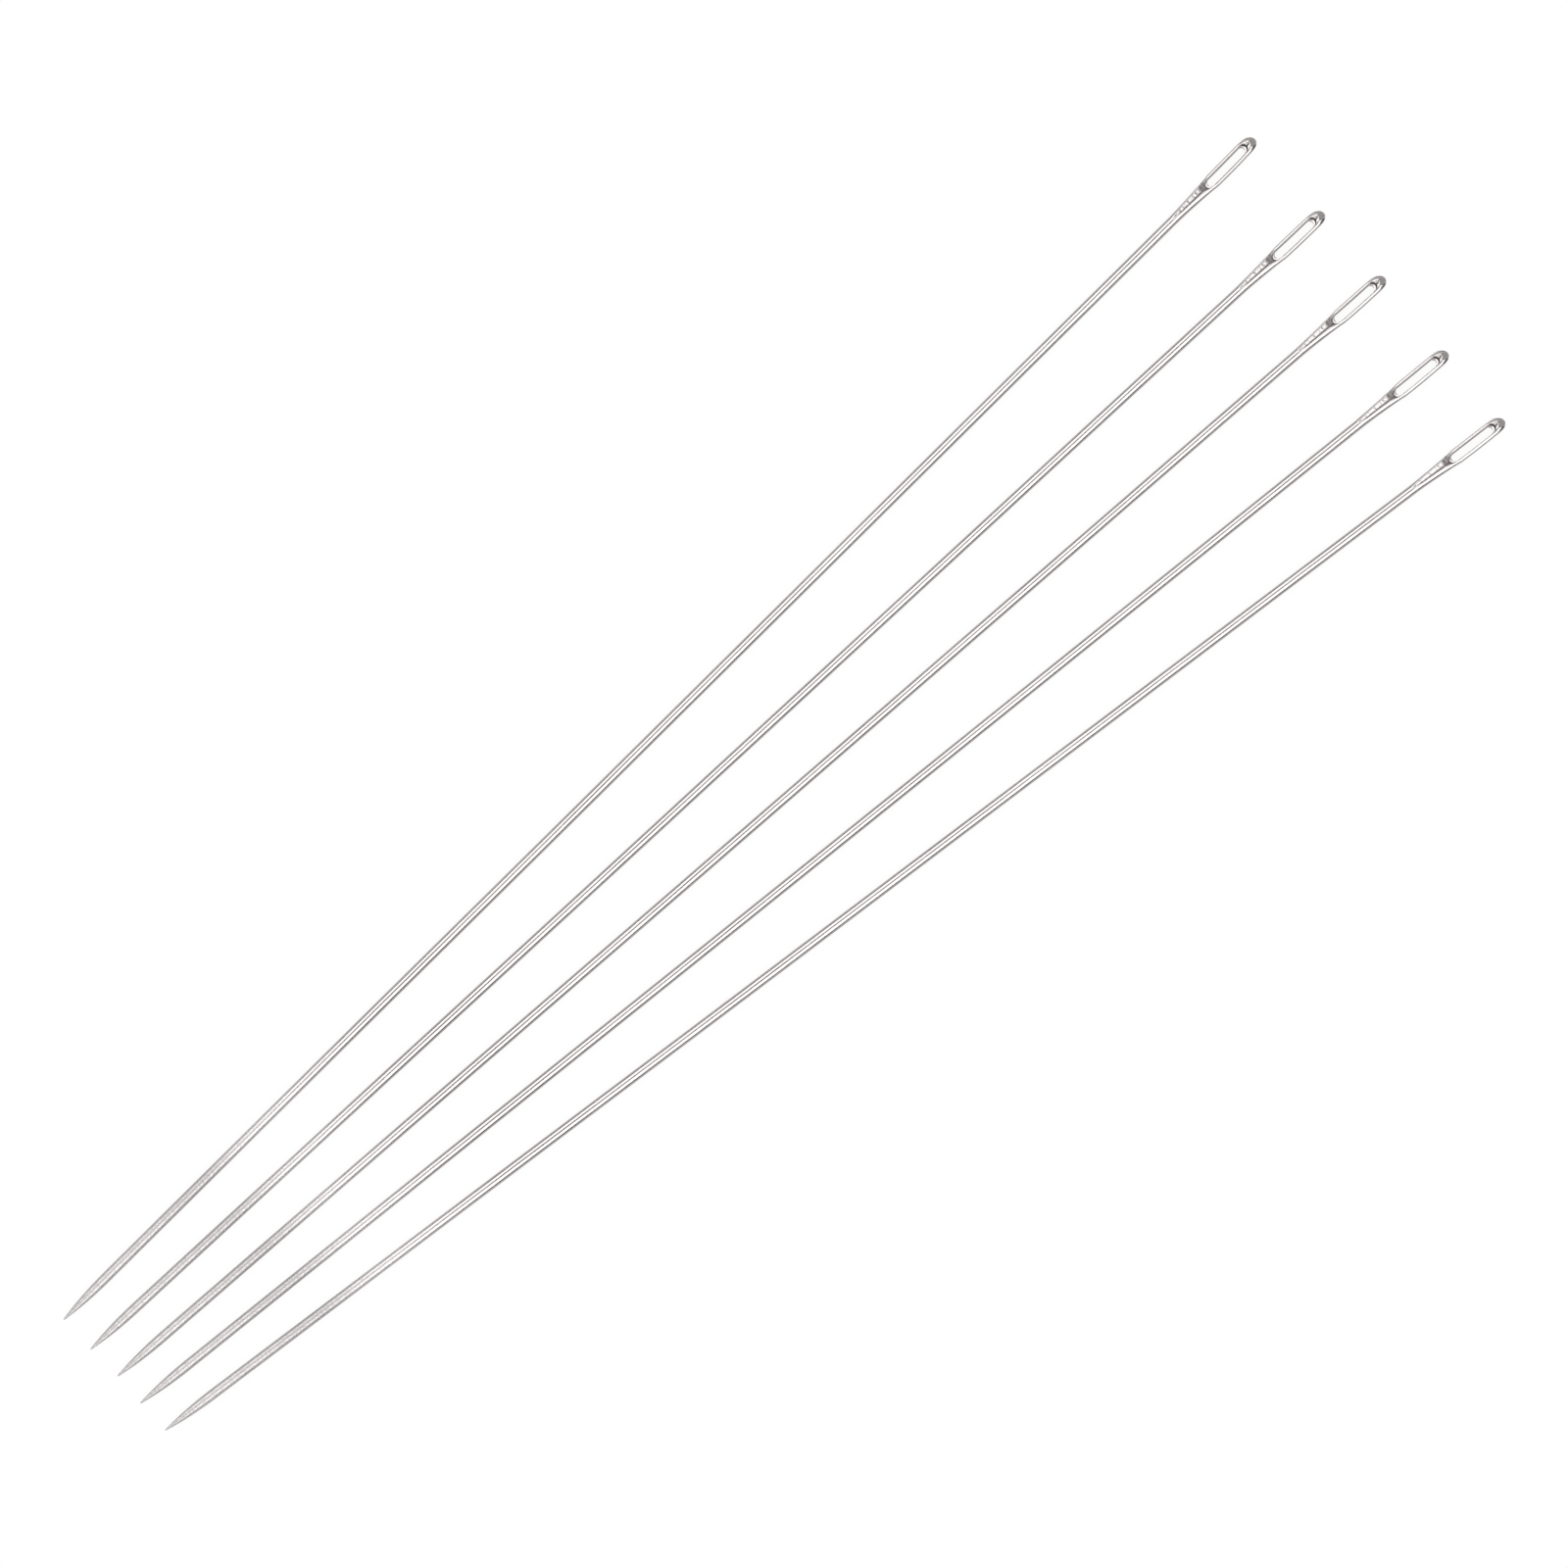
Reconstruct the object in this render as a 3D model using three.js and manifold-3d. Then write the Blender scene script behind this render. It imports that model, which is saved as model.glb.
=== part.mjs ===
// Five matching beading needles laid out in a loose fan. Each is one length of plated steel wire,
// ground to a point at one end and pressed flat at the other, where a long eye is pierced and a
// V-shaped gutter on each face leads the thread into it.
// Millimetres, +Z up, the table at z = 0, +X along the middle needle towards its eye.
import * as THREE from 'three';
import { mergeVertices } from 'three/addons/utils/BufferGeometryUtils.js';
import Module from 'manifold-3d';

// Wire and point
const needleLength = 100;
const wireDiameter = 0.59;
const pointLength = 3.9;
const pointFullness = 2.8; // 1 is a straight cone, more is a fuller ogive

// Head, in order from the crown, which is the end beyond the eye
const crownRounding = 0.66; // length over which the end rounds off across the head
const crownNose = 0.4; // length over which it rounds off through the thickness
const crownWall = 0.84; // steel between the end and the eye
const eyeLength = 3.08;
const eyeWidth = 0.49;
const railWidth = 0.223; // steel on each side of the eye, at its ends
const railBarrel = 0.015; // how far each side bulges at mid-eye
const railSquareness = 3; // 2 is a plain oval section, more is a squarer one
const headThickness = 0.46;
const taperLead = 0.4; // the head starts to narrow this far before the eye ends
const shoulderLength = 2.9; // from the end of the eye to the full round wire
const shoulderHollow = 1.6; // 1 is a straight taper, more is a hollower one

// Eye walls, which open out from a narrow land at mid-thickness to a mouth on each face: steeply
// along the sides, as long ramps at the ends
const eyeLand = 0.08;
const sideDraft = 16;
const endDraft = 65;

// Gutters: heights are those of the V's bottom edge above mid-thickness
const gutterHalfAngle = 61;
const gutterStart = 0.28; // distance from the crown to where the gutter begins
const mouthReach = 0.2; // distance from each end of the eye to the gutter's deepest place
const mouthHeight = 0.15;
const scoopLength = 0.36; // from there to where the gutter turns shallower
const scoopHeight = 0.19;
const runOutLength = 0.62; // over which it rises out of the shoulder
const runOutHeight = 0.24;

// How each needle lies: its head's face leans towards +Y by the same angle on all five
const faceLean = 14;

// The fan, from the +Y side: how far each point lies to the side of the middle needle's point and
// ahead of it, and the needle's heading in degrees
const fan = [
  { name: 'needle_1', across: 4.65, ahead: -0.22, heading: 3.83 },
  { name: 'needle_2', across: 2.26, ahead: -0.17, heading: 1.75 },
  { name: 'needle_3', across: 0, ahead: 0, heading: 0 },
  { name: 'needle_4', across: -2.11, ahead: -0.02, heading: -2.13 },
  { name: 'needle_5', across: -4.3, ahead: 0.05, heading: -3.89 },
];

// Bright nickel plate
const plateColour = 0xb6b3b0;
const plateRoughness = 0.22;

// Facets
const wireSides = 20; // even, so that one facet can lie level on the table
const pointSteps = 8;
const pointCrowding = 1.5; // 1 spaces the point's rings evenly, more crowds them at the tip
const shankSteps = 12;
const headSteps = 14;
const crownSteps = 6;
const eyeEndSteps = 7; // odd, so that one facet faces square along the eye
const cutterReach = 0.2; // how far a cutter stands clear of the steel it cuts
const shortestEdge = 0.002;

const wireRadius = wireDiameter / 2;
const headWidth = eyeWidth + 2 * railWidth;
const eyeMiddle = crownWall + eyeLength / 2;
const eyeEnd = crownWall + eyeLength;
const headLength = eyeEnd + shoulderLength;
const rad = THREE.MathUtils.degToRad;
const { clamp, lerp } = THREE.MathUtils;

const wasm = await Module();
wasm.setup();

// A closed geometry as a solid that can be cut
function toSolid(geometry) {
  geometry.deleteAttribute('normal');
  geometry.deleteAttribute('uv');
  const merged = mergeVertices(geometry);
  const index = merged.index.array;
  const triVerts = [];
  for (let i = 0; i < index.length; i += 3) {
    const [a, b, c] = index.slice(i, i + 3);
    if (a !== b && b !== c && c !== a) triVerts.push(a, b, c);
  }
  return new wasm.Manifold(new wasm.Mesh({
    numProp: 3,
    vertProperties: merged.getAttribute('position').array,
    triVerts: new Uint32Array(triVerts),
    tolerance: shortestEdge,
  }));
}

function toGeometry(solid) {
  const mesh = solid.getMesh();
  const geometry = new THREE.BufferGeometry();
  geometry.setAttribute('position', new THREE.BufferAttribute(mesh.vertProperties, 3));
  geometry.setIndex(new THREE.BufferAttribute(mesh.triVerts, 1));
  geometry.computeVertexNormals();
  return geometry;
}

// A closed loft through convex rings that have the same number of points
function loft(rings) {
  const sides = rings[0].length;
  const index = [];
  for (let ring = 0; ring + 1 < rings.length; ring += 1) {
    for (let side = 0; side < sides; side += 1) {
      const a = ring * sides + side;
      const b = ring * sides + (side + 1) % sides;
      index.push(a, b, b + sides, a, b + sides, a + sides);
    }
  }
  const last = (rings.length - 1) * sides;
  for (let side = 1; side + 1 < sides; side += 1) {
    index.push(0, side + 1, side);
    index.push(last, last + side, last + side + 1);
  }
  const geometry = new THREE.BufferGeometry().setFromPoints(rings.flat());
  geometry.setIndex(index);
  return geometry;
}

// The share of the full section that a rounded end leaves at a distance from it
function roundOff(distance, length) {
  return Math.sqrt(1 - clamp(1 - distance / length, 0, 1) ** 2);
}

// The wire cut to length, with its point ground and its other end rounded, along +X from the point
function wireBlank() {
  const profile = [];
  for (let i = 0; i < pointSteps; i += 1) {
    const along = (i / pointSteps) ** pointCrowding;
    const radius = wireRadius * (1 - (1 - along) ** pointFullness);
    profile.push(new THREE.Vector2(radius, pointLength * along));
  }
  const headStart = needleLength - headLength;
  for (let i = 0; i < shankSteps; i += 1) {
    profile.push(new THREE.Vector2(wireRadius, lerp(pointLength, headStart, i / shankSteps)));
  }
  const crownStart = needleLength - crownRounding;
  for (let i = 0; i < headSteps; i += 1) {
    profile.push(new THREE.Vector2(wireRadius, lerp(headStart, crownStart, i / headSteps)));
  }
  for (let i = 0; i <= crownSteps; i += 1) {
    const turn = (Math.PI / 2) * (i / crownSteps);
    const radius = i < crownSteps ? wireRadius * Math.cos(turn) : 0;
    profile.push(new THREE.Vector2(radius, crownStart + crownRounding * Math.sin(turn)));
  }
  const levelFacet = Math.PI / wireSides + rad(faceLean);
  const blank = new THREE.LatheGeometry(profile, wireSides, levelFacet);
  return blank.rotateZ(-Math.PI / 2);
}

// How far the wire is pressed, from 1 along the eye to 0 on the round wire
function pressAt(fromCrown) {
  const taperStart = eyeEnd - taperLead;
  const along = (fromCrown - taperStart) / (headLength - taperStart);
  return (1 - clamp(along, 0, 1)) ** shoulderHollow;
}

// How far the head bulges, from 1 at mid-eye to 0 at the eye's ends
function barrelAt(fromCrown) {
  return clamp(1 - ((fromCrown - eyeMiddle) / (eyeLength / 2)) ** 2, 0, 1);
}

// The end of the wire pressed wide, flat and squarer, with a blunter nose than its outline has
function pressHead(blank) {
  const position = blank.getAttribute('position');
  for (let i = 0; i < position.count; i += 1) {
    const fromCrown = needleLength - position.getX(i);
    const y = position.getY(i);
    const z = position.getZ(i);
    const radius = Math.hypot(y, z);
    if (fromCrown < headLength && radius > 0) {
      const press = pressAt(fromCrown);
      const power = 2 / lerp(2, railSquareness, press);
      const halfWidth = lerp(wireRadius, headWidth / 2, press) + railBarrel * barrelAt(fromCrown);
      const halfHeight = lerp(wireRadius, headThickness / 2, press);
      const outline = roundOff(fromCrown, crownRounding);
      const nose = roundOff(fromCrown, crownNose);
      position.setY(i, Math.sign(y) * halfWidth * outline * (Math.abs(y) / radius) ** power);
      position.setZ(i, Math.sign(z) * halfHeight * nose * (Math.abs(z) / radius) ** power);
    }
  }
  return blank;
}

// One level of the eye: straight sides and round ends
function eyeOutline(length, width, height) {
  const middle = needleLength - eyeMiddle;
  const outline = [];
  for (const end of [0, 1]) {
    const centre = (0.5 - end) * (length - width);
    for (let i = 0; i <= eyeEndSteps; i += 1) {
      const turn = Math.PI * (end + i / eyeEndSteps - 0.5);
      const x = middle + centre + (width / 2) * Math.cos(turn);
      outline.push(new THREE.Vector3(x, (width / 2) * Math.sin(turn), height));
    }
  }
  return outline;
}

function eyePunch() {
  const reach = headThickness / 2 + cutterReach;
  const levels = [-reach, -eyeLand / 2, eyeLand / 2, reach];
  return loft(levels.map((height) => {
    const rise = Math.abs(height) - eyeLand / 2;
    const length = eyeLength + 2 * rise * Math.tan(rad(endDraft));
    const width = eyeWidth + 2 * rise * Math.tan(rad(sideDraft));
    return eyeOutline(length, width, height);
  }));
}

// The V that presses one gutter: it sinks from the crown to a mouth at the eye, passes over the eye to
// the other mouth, and rises from there until it leaves the steel where the shoulder ends. Its spine
// holds the distance from the crown and the height of the V's bottom edge.
function gutterPunch() {
  const startHeight = (headThickness / 2) * roundOff(gutterStart, crownNose);
  const spine = [
    [headLength + cutterReach, wireRadius + cutterReach],
    [headLength, wireRadius],
    [headLength - runOutLength, runOutHeight],
    [eyeEnd + mouthReach + scoopLength, scoopHeight],
    [eyeEnd + mouthReach, mouthHeight],
    [crownWall - mouthReach, mouthHeight],
    [gutterStart, startHeight],
    [-cutterReach, startHeight],
  ];
  const top = Math.max(wireRadius, headThickness / 2) + 2 * cutterReach;
  return loft(spine.map(([fromCrown, bottom]) => {
    const x = needleLength - fromCrown;
    const halfWidth = (top - bottom) * Math.tan(rad(gutterHalfAngle));
    return [
      new THREE.Vector3(x, 0, bottom),
      new THREE.Vector3(x, halfWidth, top),
      new THREE.Vector3(x, -halfWidth, top),
    ];
  }));
}

function needleGeometry() {
  const pressed = toSolid(pressHead(wireBlank()));
  const upperGutter = toSolid(gutterPunch());
  const lowerGutter = toSolid(gutterPunch().rotateX(Math.PI));
  const eye = toSolid(eyePunch());
  return toGeometry(pressed.subtract(eye).subtract(upperGutter).subtract(lowerGutter));
}

// How far the leaning head reaches below its axis, for the squared section it is pressed to
function headReach() {
  const power = railSquareness / (railSquareness - 1);
  const sideways = (headWidth / 2 + railBarrel) * Math.sin(rad(faceLean));
  const upright = (headThickness / 2) * Math.cos(rad(faceLean));
  return (sideways ** power + upright ** power) ** (1 / power);
}

// Each needle rests on the level facet of its wire, or on its head if that reaches lower
const restHeight = Math.max(wireRadius * Math.cos(Math.PI / wireSides), headReach());
const geometry = needleGeometry();
const needles = new THREE.Group();
for (const { name, across, ahead, heading } of fan) {
  const material = new THREE.MeshStandardMaterial({
    color: plateColour,
    roughness: plateRoughness,
    metalness: 1,
  });
  const needle = new THREE.Mesh(geometry, material);
  needle.name = name;
  needle.rotation.x = -rad(faceLean);
  const place = new THREE.Group();
  place.position.set(ahead - needleLength / 2, across, restHeight);
  place.rotation.z = rad(heading);
  place.add(needle);
  needles.add(place);
}

export default needles;
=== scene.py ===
"""Five plated steel beading needles in a loose fan on a white table, seen from straight above."""

import math

import bpy
import numpy as np
from mathutils import Matrix


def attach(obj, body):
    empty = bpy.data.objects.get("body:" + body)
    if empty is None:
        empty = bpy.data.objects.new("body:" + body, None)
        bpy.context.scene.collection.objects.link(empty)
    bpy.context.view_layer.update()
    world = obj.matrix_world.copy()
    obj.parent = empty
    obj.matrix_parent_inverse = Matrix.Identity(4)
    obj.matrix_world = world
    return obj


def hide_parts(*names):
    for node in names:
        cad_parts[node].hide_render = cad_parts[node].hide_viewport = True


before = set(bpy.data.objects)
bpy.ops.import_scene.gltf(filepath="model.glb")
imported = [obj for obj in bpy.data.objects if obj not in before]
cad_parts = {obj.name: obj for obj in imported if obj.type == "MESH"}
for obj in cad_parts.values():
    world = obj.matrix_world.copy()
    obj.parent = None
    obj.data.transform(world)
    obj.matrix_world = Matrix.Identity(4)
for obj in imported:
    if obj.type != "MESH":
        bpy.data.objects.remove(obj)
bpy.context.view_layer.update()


def slope(degrees):
    """Rise over run of a face that leans this far from level."""
    return math.tan(math.radians(degrees))


# Needle sizes in millimetres. The needle's own axes are +X from the point to the crown, which is the
# end beyond the eye, Y across the head and Z through its thickness.
MM = 0.001
NEEDLE_LENGTH = 100.0
WIRE_RADIUS = 0.29  # at the head, from where the wire thickens evenly
WIRE_RADIUS_AT_POINT = 0.309
POINT_LENGTH = 3.9
POINT_FULLNESS = 2.3  # 1 is a straight cone, and more is a fuller one
TIP_BLUNTNESS = 0.12  # share of the wire's radius that the tip keeps
TIP_ROUNDING = 0.04

# Bow: distance from the crown, and how far the wire's middle lies to the +Y side of a straight line. The
# head is bent most, and the rest is nearly straight.
BOW = [
    (0.0, 0.045),
    (0.5, 0.088),
    (2.5, 0.052),
    (5.0, 0.034),
    (20.0, 0.025),
    (40.0, 0.0),
    (58.0, -0.015),
    (75.0, 0.005),
    (96.0, -0.015),
    (NEEDLE_LENGTH, -0.03),
]

# Head
CROWN_ROUNDING = 0.66  # length over which the crown rounds off, seen from above
CROWN_NOSE = 0.3  # and seen from the side
NOSE_FACET = 0.40  # where the slanted facet on the crown meets the face, at mid-width
NOSE_SKEW = 0.4  # how far that line runs along the needle for each step across it
NOSE_SLOPE = slope(19)
NOSE_ROUNDING = 0.02
CROWN_WALL = 0.90  # steel between the crown's end and the eye
EYE_LENGTH = 3.02
EYE_WIDTH = 0.49
RAIL_WIDTH = 0.212  # steel on each side of the eye
RAIL_BARREL = 0.015  # how far a rail swells at the middle of the eye
RAIL_SQUARENESS = 4.5  # power of the section's curve
ROUND_SQUARENESS = 2
HEAD_THICKNESS = 0.46
RAIL_BEVEL_START = 0.29  # distance from the head's middle
RAIL_BEVEL_SLOPE = slope(19)
RAIL_BEVEL_ROUNDING = 0.015
CROWN_BEVEL_WIDTH = 0.2
CROWN_BEVEL_SKEW = 0.2  # wider by this share on the +Y side, and narrower by it on the other
CROWN_BEVEL_FADE = (0.3, 1.3)  # distances from the crown between which it narrows to nothing
CROWN_BEVEL_SLOPE = slope(48)
CROWN_BEVEL_ROUNDING = 0.06
CROWN_EDGE = 0.45  # share of the height that the bevel and the facet leave at the least
TAPER_LEAD = 0.4  # how far before the eye's end the shoulder starts
SHOULDER_LENGTH = 2.9
SHOULDER_HOLLOW = 1.6  # 1 is a straight taper, and more is a hollow one
SHOULDER_FADE = (0.4, 4.0)  # powers of the press: square for longer on the +Y side than on the -Y side
FACE_LEAN = math.radians(14)

# Eye walls: a narrow upright land at mid-thickness, then a steep wall. At both ends a nearly level ledge
# lies between the two.
EYE_LAND = 0.08
LAND_ROUNDING = 0.015
LEDGE_LENGTH = 0.18
LEDGE_SLOPE = slope(8)
SIDE_WALL_SLOPE = slope(74)
END_WALL_SLOPE = slope(62)

EYE_RADIUS = EYE_WIDTH / 2
HEAD_HALF_WIDTH = EYE_RADIUS + RAIL_WIDTH
EYE_END = CROWN_WALL + EYE_LENGTH
EYE_MIDDLE = CROWN_WALL + EYE_LENGTH / 2
HEAD_LENGTH = EYE_END + SHOULDER_LENGTH

# Gutter: distance from the crown and height of its bottom above mid-thickness. It sinks to a mouth at
# each end of the eye and rises out of the shoulder again.
GUTTER = [
    (0.00, 0.330),
    (0.36, 0.222),
    (0.50, 0.183),
    (CROWN_WALL - 0.20, 0.170),
    (EYE_END + 0.20, 0.100),
    (EYE_END + 0.56, 0.165),
    (HEAD_LENGTH - 0.62, 0.222),
    (HEAD_LENGTH, WIRE_RADIUS),
    (HEAD_LENGTH + 2.0, 2 * WIRE_RADIUS),
]
GUTTER_SLOPE = slope(25.5)
GUTTER_ROUNDING = 0.002
GUTTER_CREST_ROUNDING = 0.014
EYE_CREST_ROUNDING = 0.03

# The gutter's +Y wall is flatter at its far mouth, the one towards the point, and beyond. Each pair is
# two distances past the eye's end, between which a slope takes over from the one before.
FAR_MOUTH_SLOPE = slope(14)
FAR_MOUTH_START = (-0.5, -0.1)
FAR_GUTTER_SLOPE = slope(19)
FAR_GUTTER_START = (0.4, 0.75)

# Ripples that the press leaves in the gutter beyond the eye: depth, share of the +Y wall's slope, lengths,
# and the distances past the eye's end between which the depth sets in
RIPPLE_DEPTH = 0.002
RIPPLE_SLOPE = 0.08
RIPPLE_LENGTHS = (0.23, 0.37)
RIPPLE_START = (0.3, 0.8)

# Polish misses some of what lies deep below the pressed face, and more of the gutter's mouths: all of the
# one at the crown and a share of the far one. The ledges are polished, but for a strip along the foot of
# the wall. These places are rougher, and their colour is also darkened there as painted shade in the
# recesses.
# Each pair is a range of depths or distances over which this sets in or fades.
WALL_DEPTH = (0.03, 0.10)
WALL_DULLNESS_AND_SHADE = 0.3
MOUTH_DEPTH = (0.0, 0.05)
MOUTH_START = (0.0, 0.1)
MOUTH_END = (0.50, 0.72)
FAR_MOUTH_DULLNESS_AND_SHADE = 0.55
WALL_FOOT = (0.0, 0.04)

# How finely the needle's skin is divided
QUARTER_STEPS = 32  # from the middle, or the eye's rim, to the edge
ROUND_END_RINGS = 14
CROWN_RINGS = 30
RAIL_RINGS = 20
SHOULDER_RINGS = 110
SHOULDER_RUN_OUT = 0.6  # how far past the shoulder its rings go on
SHANK_RINGS = 25
POINT_RINGS = 30
POINT_CROWDING = 2.2  # 1 spaces the rings evenly, and more crowds them towards the tip
RING_DECIMALS = 6  # rings whose places agree to this many decimals are one ring
SAME_PLACE = 1e-5  # what is closer than this is in one place
TINY = 1e-9  # keeps divisions off zero


def between(low, high, share):
    return low + (high - low) * share


def eased(low, high, value):
    """0 up to the low value, 1 from the high one on, and a smooth rise between them."""
    share = np.clip((value - low) / (high - low), 0, 1)
    return share * share * (3 - 2 * share)


def lower_of(a, b, rounding):
    """The lower of two heights, with the edge where they cross rounded."""
    near = np.maximum(rounding - np.abs(a - b), 0) / rounding
    return np.minimum(a, b) - near * near * rounding / 4


def round_off(distance, length):
    """Share of the full section that a rounded end leaves at a distance from it."""
    return np.sqrt(1 - np.clip(1 - distance / length, 0, 1) ** 2)


def press(from_crown):
    """How far the wire is pressed: 1 along the eye, 0 on the round wire."""
    start = EYE_END - TAPER_LEAD
    along = np.clip((from_crown - start) / (HEAD_LENGTH - start), 0, 1)
    return (1 - along) ** SHOULDER_HOLLOW


def point_share(from_crown):
    """Share of the wire's radius that the ground point leaves."""
    from_tip = NEEDLE_LENGTH - from_crown
    into_point = np.clip(1 - from_tip / POINT_LENGTH, 0, 1)
    return between(1, TIP_BLUNTNESS, into_point ** POINT_FULLNESS) * round_off(from_tip, TIP_ROUNDING)


def wire_radius(from_crown):
    return between(WIRE_RADIUS, WIRE_RADIUS_AT_POINT, from_crown / NEEDLE_LENGTH)


def half_width(from_crown):
    """Half the needle's width: the rails with their swell, then the wire and its point."""
    swell = RAIL_BARREL * np.clip(1 - ((from_crown - EYE_MIDDLE) / (EYE_LENGTH / 2)) ** 2, 0, 1)
    full = between(wire_radius(from_crown), HEAD_HALF_WIDTH, press(from_crown)) + swell
    return full * round_off(from_crown, CROWN_ROUNDING) * point_share(from_crown)


def half_height(from_crown):
    """Half the needle's thickness at mid-width, before the bevels and cuts."""
    full = between(wire_radius(from_crown), HEAD_THICKNESS / 2, press(from_crown))
    return full * round_off(from_crown, CROWN_NOSE) * point_share(from_crown)


def into_eye_end(from_crown):
    """Distance past the eye's straight stretch, into either round end."""
    return np.maximum(np.abs(from_crown - EYE_MIDDLE) - (EYE_LENGTH / 2 - EYE_RADIUS), 0)


def eye_half_width(from_crown):
    return np.sqrt(np.maximum(EYE_RADIUS ** 2 - into_eye_end(from_crown) ** 2, 0))


def outer_height(across, from_crown):
    """Height of the pressed wire's face before it is cut: a block that turns into round wire, bevelled
    along the rails and round the crown, with a skewed facet on the nose."""
    pressed = press(from_crown) ** np.where(across > 0, *SHOULDER_FADE)
    squareness = between(ROUND_SQUARENESS, RAIL_SQUARENESS, pressed)
    width = np.maximum(half_width(from_crown), TINY)
    height = half_height(from_crown)
    out = np.abs(across)
    block = height * np.clip(1 - (out / width) ** squareness, 0, 1) ** (1 / squareness)

    # On round wire the rails' bevel lies above the face and takes nothing off
    rail_bevel = height + between(WIRE_RADIUS, RAIL_BEVEL_SLOPE * (RAIL_BEVEL_START - out), pressed)
    block = lower_of(block, rail_bevel, RAIL_BEVEL_ROUNDING)
    bevel_width = CROWN_BEVEL_WIDTH * (1 - eased(*CROWN_BEVEL_FADE, from_crown))
    bevel_start = width - bevel_width * (1 + CROWN_BEVEL_SKEW * np.sign(across))
    crown_bevel = height + CROWN_BEVEL_SLOPE * (bevel_start - out)
    block = lower_of(block, crown_bevel, CROWN_BEVEL_ROUNDING)
    facet = HEAD_THICKNESS / 2 + NOSE_SLOPE * (from_crown + NOSE_SKEW * across - NOSE_FACET)
    edge = CROWN_EDGE * height * np.sqrt(np.clip(1 - (across / width) ** 2, 0, 1))
    return np.maximum(lower_of(block, facet, NOSE_ROUNDING), edge)


def eye_wall(across, from_crown):
    """Height of the wall round the eye, and the distance left to its foot for places on the ledge."""
    into_end = into_eye_end(from_crown)
    out = np.maximum(np.hypot(into_end, across), TINY)
    past_edge = np.maximum(out - EYE_RADIUS, 0)
    endward = (into_end / out) ** 2
    ledge = LEDGE_LENGTH * endward
    on_ledge = np.minimum(past_edge, ledge)
    land = EYE_LAND / 2 * round_off(past_edge, LAND_ROUNDING)
    wall = between(SIDE_WALL_SLOPE, END_WALL_SLOPE, endward) * (past_edge - on_ledge)
    return land + LEDGE_SLOPE * on_ledge + wall, ledge - on_ledge


def gutter_height(across, from_crown):
    """Height of the gutter's V above mid-thickness, rippled and with a flatter +Y wall beyond the eye."""
    from_eye = from_crown - EYE_END
    ripple = sum(math.sin(2 * math.pi * from_crown / length) for length in RIPPLE_LENGTHS)
    far_slope = between(FAR_MOUTH_SLOPE, FAR_GUTTER_SLOPE, eased(*FAR_GUTTER_START, from_eye))
    far_slope = far_slope * (1 + RIPPLE_SLOPE * ripple)
    flatter_slope = between(GUTTER_SLOPE, far_slope, eased(*FAR_MOUTH_START, from_eye))
    wall_slope = np.where(across > 0, flatter_slope, GUTTER_SLOPE)
    wall = np.hypot(across * wall_slope, GUTTER_ROUNDING) - GUTTER_ROUNDING
    bottom = np.interp(from_crown, *zip(*GUTTER))
    return bottom + wall + RIPPLE_DEPTH * ripple * eased(*RIPPLE_START, from_eye)


def upper_face(across, from_crown):
    """Height of the needle's upper face above mid-thickness, and a mask of how far polish misses it, which
    also sets how much painted shade darkens it.
    """
    outer = outer_height(across, from_crown)
    cut = lower_of(outer, gutter_height(across, from_crown), GUTTER_CREST_ROUNDING)
    wall, to_foot = eye_wall(across, from_crown)
    top = np.maximum(lower_of(cut, wall, EYE_CREST_ROUNDING), 0)
    depth = outer - top
    from_eye = np.maximum(np.abs(from_crown - EYE_MIDDLE) - EYE_LENGTH / 2, 0)
    at_mouth = eased(*MOUTH_START, from_eye) * (1 - eased(*MOUTH_END, from_eye))
    if from_crown > EYE_MIDDLE:
        at_mouth = at_mouth * FAR_MOUTH_DULLNESS_AND_SHADE
    # The mask makes these places rougher and also paints shade into them: the deeper recesses, the gutters'
    # mouths and the foot of the walls.
    on_walls = WALL_DULLNESS_AND_SHADE * eased(*WALL_DEPTH, depth)
    in_mouths = at_mouth * eased(*MOUTH_DEPTH, depth)
    return top, np.maximum(on_walls, in_mouths) * (1 - eased(*WALL_FOOT, to_foot))


def ring_places():
    """Distances from the crown at which the needle has a ring of points, closest where it curves most."""
    round_end = 1 - np.cos(np.linspace(0, math.pi / 2, ROUND_END_RINGS))
    run_out = HEAD_LENGTH + SHOULDER_RUN_OUT
    stretches = [
        CROWN_NOSE * round_end,
        np.linspace(CROWN_NOSE, CROWN_WALL, CROWN_RINGS),
        CROWN_WALL + EYE_RADIUS * round_end,
        np.linspace(CROWN_WALL + EYE_RADIUS, EYE_END - EYE_RADIUS, RAIL_RINGS),
        EYE_END - EYE_RADIUS * round_end,
        np.linspace(EYE_END, run_out, SHOULDER_RINGS),
        np.linspace(run_out, NEEDLE_LENGTH - POINT_LENGTH, SHANK_RINGS),
        NEEDLE_LENGTH - POINT_LENGTH * np.linspace(0, 1, POINT_RINGS) ** POINT_CROWDING,
    ]
    return np.unique(np.round(np.concatenate(stretches), RING_DECIMALS))


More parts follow.
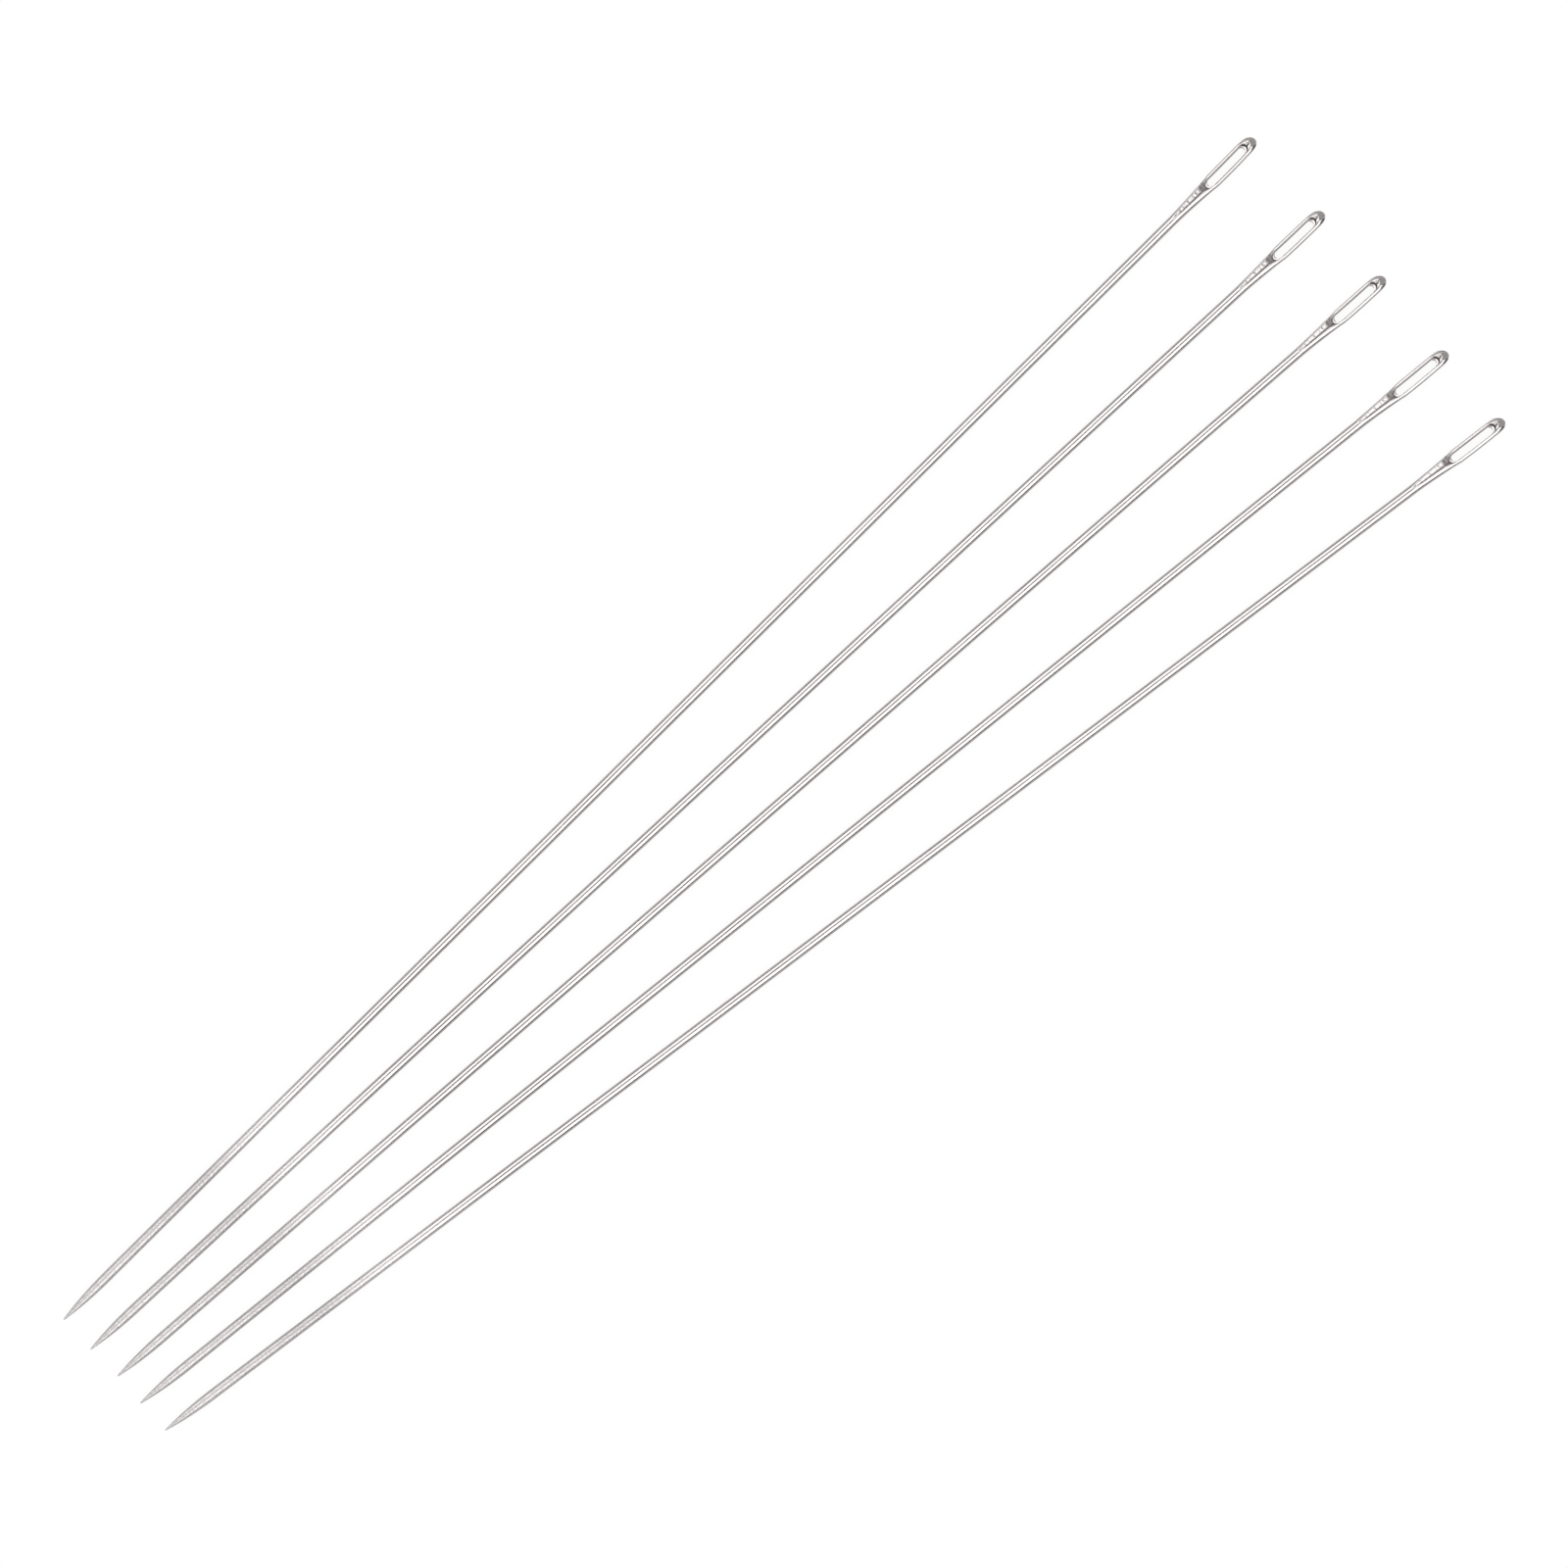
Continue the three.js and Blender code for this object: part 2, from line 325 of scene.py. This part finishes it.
def needle_mesh(name):
    """One needle as four quarter skins, which meet along its edges, its gutters and the rim of its eye."""
    points = []
    dullness_and_painted_shade = []
    index = {}

    def vertex(key, place, dullness_and_shade):
        """Index of the point that a key stands for, which quarters that meet there share."""
        if key not in index:
            index[key] = len(points)
            points.append([MM * value for value in place])
            dullness_and_painted_shade.append(dullness_and_shade)
        return index[key]

    # Points lie evenly round the wire, and crowd towards both edges of the rails
    share = np.linspace(0, 1, QUARTER_STEPS + 1)
    round_wire = np.sin(share * math.pi / 2)
    flat_rail = (1 - np.cos(share * math.pi)) / 2
    quarters = [(1, 1), (-1, 1), (-1, -1), (1, -1)]
    rings = {quarter: [] for quarter in quarters}
    for ring, from_crown in enumerate(ring_places()):
        rim = float(eye_half_width(from_crown))
        edge = float(half_width(from_crown))
        at_eye_end = min(abs(from_crown - CROWN_WALL), abs(from_crown - EYE_END)) < SAME_PLACE
        flatness = np.clip((HEAD_LENGTH - from_crown) / SHOULDER_LENGTH, 0, 1)
        across = between(rim, edge, between(round_wire, flat_rail, flatness))
        bow = np.interp(from_crown, *zip(*BOW))
        for side, face in quarters:
            height, dullness_and_shade = upper_face(side * across, from_crown)
            row = []
            for step in range(QUARTER_STEPS + 1):
                place = [NEEDLE_LENGTH - from_crown, bow + side * across[step], face * height[step]]
                key = (ring, step, side, face)
                if edge < SAME_PLACE:
                    key = (ring, "end")
                elif step == QUARTER_STEPS:
                    key = (ring, "edge", side)
                    place[2] = 0
                elif step == 0 and (at_eye_end or rim > 0):
                    key = (ring, "rim", 0 if at_eye_end else side)
                    place[2] = 0
                elif step == 0:
                    key = (ring, "middle", face)
                row.append(vertex(key, place, dullness_and_shade[step]))
            rings[side, face].append(row)

    faces = []
    for side, face in quarters:
        rows = rings[side, face]
        for a, b in zip(rows, rows[1:]):
            for step in range(QUARTER_STEPS):
                corners = list(dict.fromkeys([a[step], b[step], b[step + 1], a[step + 1]]))
                if len(corners) > 2:
                    faces.append(corners if side * face < 0 else corners[::-1])

    mesh = bpy.data.meshes.new(name)
    mesh.from_pydata(points, [], faces)
    mesh.polygons.foreach_set("use_smooth", [True] * len(mesh.polygons))
    # One mask for the material: rougher places, and painted shade darkening the recesses.
    mesh.attributes.new("dullness_and_painted_shade", "FLOAT", "POINT").data.foreach_set("value", dullness_and_painted_shade)
    mesh.update()
    return mesh


def needle_place(node):
    """Where a packed needle lies: a matrix that takes the needle's own axes to the frame. Its axis is as
    high as the wire's thickest radius, so that it rests on the table there."""
    corners = [v.co for v in node.data.vertices]
    tip = min(corners, key=lambda co: co.x)
    crown = max(corners, key=lambda co: co.x)
    heading = math.atan2(crown.y - tip.y, crown.x - tip.x)
    turn = Matrix.Rotation(heading, 4, "Z") @ Matrix.Rotation(-FACE_LEAN, 4, "X")
    return Matrix.Translation((tip.x, tip.y, WIRE_RADIUS_AT_POINT * MM)) @ turn


def linear(hex_colour):
    """An sRGB hex colour as linear RGBA, by the sRGB standard's own curve."""
    channels = [byte / 255 for byte in bytes.fromhex(hex_colour[1:])]
    rgb = [c / 12.92 if c <= 0.04045 else ((c + 0.055) / 1.055) ** 2.4 for c in channels]
    return (*rgb, 1.0)


def add_node(tree, kind, settings=None, links=None):
    """Adds a shader node, sets its properties and input values, and links outputs to its inputs. An input
    goes by its name, or by its place in the node where names repeat."""
    node = tree.nodes.new(kind)
    for name, value in (settings or {}).items():
        if isinstance(name, str) and hasattr(node, name):
            setattr(node, name, value)
        else:
            node.inputs[name].default_value = value
    for name, output in (links or {}).items():
        tree.links.new(output, node.inputs[name])
    return node


def new_material(name):
    """A material with no nodes yet, and its node tree."""
    material = bpy.data.materials.new(name)
    material.use_nodes = True
    material.node_tree.nodes.clear()
    return material, material.node_tree


# Marks on the needle in millimetres. Drawn lines are about 0.02 mm apart on real wire, and grinding marks
# too. They are drawn coarser here, so that they show.
DRAW_LINE_WIDTH = 0.1
DRAW_LINE_LENGTH = 6.0
GRIND_MARK_WIDTH = 0.16
GRIND_MARK_LENGTH = 0.9
MARK_NOISE = {"Scale": 1.0, "Detail": 2.0, "Roughness": 0.5}
MARK_RANGE = (0.3, 0.7)  # most of the noise lies between these two
MARK_DEPTH = 0.01
MARK_STRENGTH = 0.2
GRIND_MARK_HEIGHT = (0.0, 2.6)  # in mark depths
GROUND_LENGTH = 11.0
GROUND_FADE = 16.0

# Roughness of the bright plate and of the ground point, from smooth to rough places, and of what polish
# misses
PLATE_ROUGHNESS = (0.16, 0.26)
GROUND_ROUGHNESS = (0.38, 0.54)
UNPOLISHED_ROUGHNESS = 0.5

# Colour of the wire by its distance from the tip: the ground part darkens to where the wheel lifted off,
# and the wire is burnished bright just beyond. The last colour is the plate's own, up to the crown.
WIRE_TINTS = [
    (0.0, "#C9C5C5"),
    (6.0, "#C1BDBD"),
    (11.5, "#B8B4B4"),
    (16.0, "#C9C5C5"),
    (25.0, "#B6B2B1"),
]
# Painted shade: the dark grey that the eye's walls, the gutters' mouths and the foot of the walls are
# darkened towards
PAINTED_RECESS_SHADE = "#6E6967"
GRAZING_TINT = "#CCCCCC"  # what the plate keeps of light that grazes it


def nickel_plated_drawn_steel():
    """Bright nickel plate on drawn steel wire: a soft mirror with faint lines along the draw, rougher where
    polish misses the eye's walls and the gutters, which also get painted shade there, and satin with marks
    across it where the point was ground."""
    material, tree = new_material("nickel_plated_drawn_steel")
    place = add_node(tree, "ShaderNodeTexCoord").outputs["Object"]
    from_tip = add_node(tree, "ShaderNodeSeparateXYZ", None, {"Vector": place}).outputs["X"]
    ground = add_node(
        tree, "ShaderNodeMapRange",
        {"interpolation_type": "SMOOTHSTEP", "From Min": (GROUND_LENGTH + GROUND_FADE) * MM,
         "From Max": GROUND_LENGTH * MM},
        {"Value": from_tip}).outputs["Result"]
    dullness_and_painted_shade = add_node(tree, "ShaderNodeAttribute", {"attribute_name": "dullness_and_painted_shade"}).outputs["Fac"]

    marks = {}
    for name, length, width in [("draw", DRAW_LINE_LENGTH, DRAW_LINE_WIDTH),
                                ("grind", GRIND_MARK_WIDTH, GRIND_MARK_LENGTH)]:
        scale = [1 / (size * MM) for size in (length, width, width)]
        stretched = add_node(tree, "ShaderNodeMapping", {"Scale": scale}, {"Vector": place})
        marks[name] = add_node(
            tree, "ShaderNodeTexNoise", MARK_NOISE, {"Vector": stretched.outputs["Vector"]}).outputs["Fac"]

    surface = {}
    for name, mark, values in [("plate", "draw", PLATE_ROUGHNESS),
                               ("satin", "grind", GROUND_ROUGHNESS),
                               ("scratches", "grind", GRIND_MARK_HEIGHT)]:
        surface[name] = add_node(
            tree, "ShaderNodeMapRange",
            {"From Min": MARK_RANGE[0], "From Max": MARK_RANGE[1], "To Min": values[0], "To Max": values[1]},
            {"Value": marks[mark]}).outputs["Result"]

    roughness = add_node(
        tree, "ShaderNodeMix", {"data_type": "FLOAT"},
        {"Factor": ground, "A": surface["plate"], "B": surface["satin"]}).outputs["Result"]
    roughness = add_node(
        tree, "ShaderNodeMix", {"data_type": "FLOAT", "B": UNPOLISHED_ROUGHNESS},
        {"Factor": dullness_and_painted_shade, "A": roughness}).outputs["Result"]

    tint_length = WIRE_TINTS[-1][0]
    along = add_node(tree, "ShaderNodeMapRange", {"From Max": tint_length * MM}, {"Value": from_tip})
    tints = add_node(tree, "ShaderNodeValToRGB", None, {"Fac": along.outputs["Result"]})
    stops = tints.color_ramp.elements
    stops[0].color = linear(WIRE_TINTS[0][1])
    stops[1].color = linear(WIRE_TINTS[-1][1])
    for distance, tint in WIRE_TINTS[1:-1]:
        stops.new(distance / tint_length).color = linear(tint)
    # Painted shade: the recess mask darkens the colour towards a dark grey in the eye's walls and the
    # gutters.
    colour = add_node(
        tree, "ShaderNodeMix", {"data_type": "RGBA", "B": linear(PAINTED_RECESS_SHADE)},
        {"Factor": dullness_and_painted_shade, "A": tints.outputs["Color"]}).outputs["Result"]

    height = add_node(
        tree, "ShaderNodeMix", {"data_type": "FLOAT"},
        {"Factor": ground, "A": marks["draw"], "B": surface["scratches"]}).outputs["Result"]
    bump = add_node(
        tree, "ShaderNodeBump", {"Strength": MARK_STRENGTH, "Distance": MARK_DEPTH * MM}, {"Height": height})
    shader = add_node(
        tree, "ShaderNodeBsdfPrincipled", {"Metallic": 1.0, "Specular Tint": linear(GRAZING_TINT)},
        {"Base Color": colour, "Roughness": roughness, "Normal": bump.outputs["Normal"]})
    add_node(tree, "ShaderNodeOutputMaterial", None, {"Surface": shader.outputs["BSDF"]})
    return material


def make_needles():
    """A plated needle for each packed one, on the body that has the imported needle's name."""
    plate = nickel_plated_drawn_steel()
    for node_name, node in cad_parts.items():
        mesh = needle_mesh("plated_" + node_name)
        mesh.materials.append(plate)
        needle = bpy.data.objects.new("plated_" + node_name, mesh)
        needle.matrix_world = needle_place(node)
        bpy.context.scene.collection.objects.link(needle)
        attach(needle, node_name)
        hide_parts(node_name)


# Table, with its size in metres and the share of pure white in what the camera and the metal see of it
TABLE_SIZE = 4.0
TABLE_WHITE = "#FAFAFA"
TABLE_LIFT = 0.92


def matt_white_laminate():
    """Matt white laminate, plain all over. What the camera and the metal see of it is lifted to white,
    and the rest of its light keeps the shadows."""
    material, tree = new_material("matt_white_laminate")
    rays = add_node(tree, "ShaderNodeLightPath").outputs
    seen = rays["Is Camera Ray"]
    for kind in ("Is Glossy Ray", "Is Transmission Ray"):
        seen = add_node(
            tree, "ShaderNodeMath", {"operation": "MAXIMUM"}, {0: seen, 1: rays[kind]}).outputs[0]
    lift = add_node(tree, "ShaderNodeMath", {"operation": "MULTIPLY", 1: TABLE_LIFT}, {0: seen})
    matt = add_node(tree, "ShaderNodeBsdfDiffuse", {"Color": linear(TABLE_WHITE)})
    white = add_node(tree, "ShaderNodeEmission", {"Strength": 1.0})
    mixed = add_node(
        tree, "ShaderNodeMixShader", None,
        {0: lift.outputs[0], 1: matt.outputs["BSDF"], 2: white.outputs["Emission"]})
    add_node(tree, "ShaderNodeOutputMaterial", None, {"Surface": mixed.outputs["Shader"]})
    return material


def make_table():
    half = TABLE_SIZE / 2
    corners = [(-half, -half, 0), (half, -half, 0), (half, half, 0), (-half, half, 0)]
    mesh = bpy.data.meshes.new("table")
    mesh.from_pydata(corners, [], [(0, 1, 2, 3)])
    mesh.materials.append(matt_white_laminate())
    table = bpy.data.objects.new("table", mesh)
    bpy.context.scene.collection.objects.link(table)


# Softboxes stand round the camera and face a spot on the table just beyond the crowns. Each has the
# direction it stands in, turned from +X towards +Y, the span of angles from straight up that it covers,
# its length and its radiance. Distances and lengths are in metres, angles in degrees.
LAMP_DISTANCE = 0.7
LAMP_SHIFT = 0.0625
SOFTBOXES = {
    "left_softbox": (90, (20.5, 70), 0.645, 2.25),
    "right_softbox": (-90, (5.5, 59), 0.645, 2.65),
    "crown_fill": (0, (30, 80), 1.2, 0.45),
    "point_fill": (180, (30, 80), 1.2, 0.6),
}
ROOM_GREY = 0.145


def make_softbox(name, direction, span, length, radiance):
    """A lamp wide enough to cover its span, seen from the spot that it faces."""
    low, high = (math.radians(angle) for angle in span)
    width = 2 * LAMP_DISTANCE * math.tan((high - low) / 2)
    lamp = bpy.data.lights.new(name, "AREA")
    lamp.shape = "RECTANGLE"
    lamp.size = length
    lamp.size_y = width
    lamp.energy = math.pi * radiance * length * width
    softbox = bpy.data.objects.new(name, lamp)

    # The tilt alone stands a lamp towards +Y, a quarter turn from +X
    turn = Matrix.Rotation(math.radians(direction - 90), 4, "Z")
    tilt = Matrix.Rotation(-(low + high) / 2, 4, "X")
    shift = Matrix.Translation((LAMP_SHIFT, 0, 0))
    softbox.matrix_world = shift @ turn @ tilt @ Matrix.Translation((0, 0, LAMP_DISTANCE))
    softbox.visible_camera = False
    bpy.context.scene.collection.objects.link(softbox)


def make_room():
    """An even grey room, which the metal shows between the lamps."""
    world = bpy.data.worlds.new("grey_studio")
    world.use_nodes = True
    background = world.node_tree.nodes["Background"]
    background.inputs["Color"].default_value = linear("#FFFFFF")
    background.inputs["Strength"].default_value = ROOM_GREY
    bpy.context.scene.world = world


# The photograph in pixels: its side, the middle needle's length and where that needle's middle lies. The
# needle's eye end is turned this far anticlockwise from the right. Lens and sensor are in millimetres.
IMAGE_SIZE = 1600
NEEDLE_PIXELS = 1710.7
MIDDLE_PIXEL = (766.7, 844.0)
NEEDLE_TURN = math.radians(40.87)
CAMERA_LENS = 300.0
CAMERA_SENSOR = 36.0


def make_camera():
    """A camera straight above, turned and moved to frame the fan as the photograph does."""
    pixel = NEEDLE_LENGTH * MM / NEEDLE_PIXELS
    right = (IMAGE_SIZE / 2 - MIDDLE_PIXEL[0]) * pixel
    up = (MIDDLE_PIXEL[1] - IMAGE_SIZE / 2) * pixel
    height = IMAGE_SIZE * pixel * CAMERA_LENS / CAMERA_SENSOR
    data = bpy.data.cameras.new("overhead_camera")
    data.lens = CAMERA_LENS
    data.sensor_width = CAMERA_SENSOR
    camera = bpy.data.objects.new("overhead_camera", data)
    turn = Matrix.Rotation(-NEEDLE_TURN, 4, "Z")
    camera.matrix_world = turn @ Matrix.Translation((right, up, height))
    bpy.context.scene.collection.objects.link(camera)
    bpy.context.scene.camera = camera


make_camera()
make_room()
for softbox_name, softbox in SOFTBOXES.items():
    make_softbox(softbox_name, *softbox)
make_table()
make_needles()
bpy.context.scene.view_settings.view_transform = "Standard"
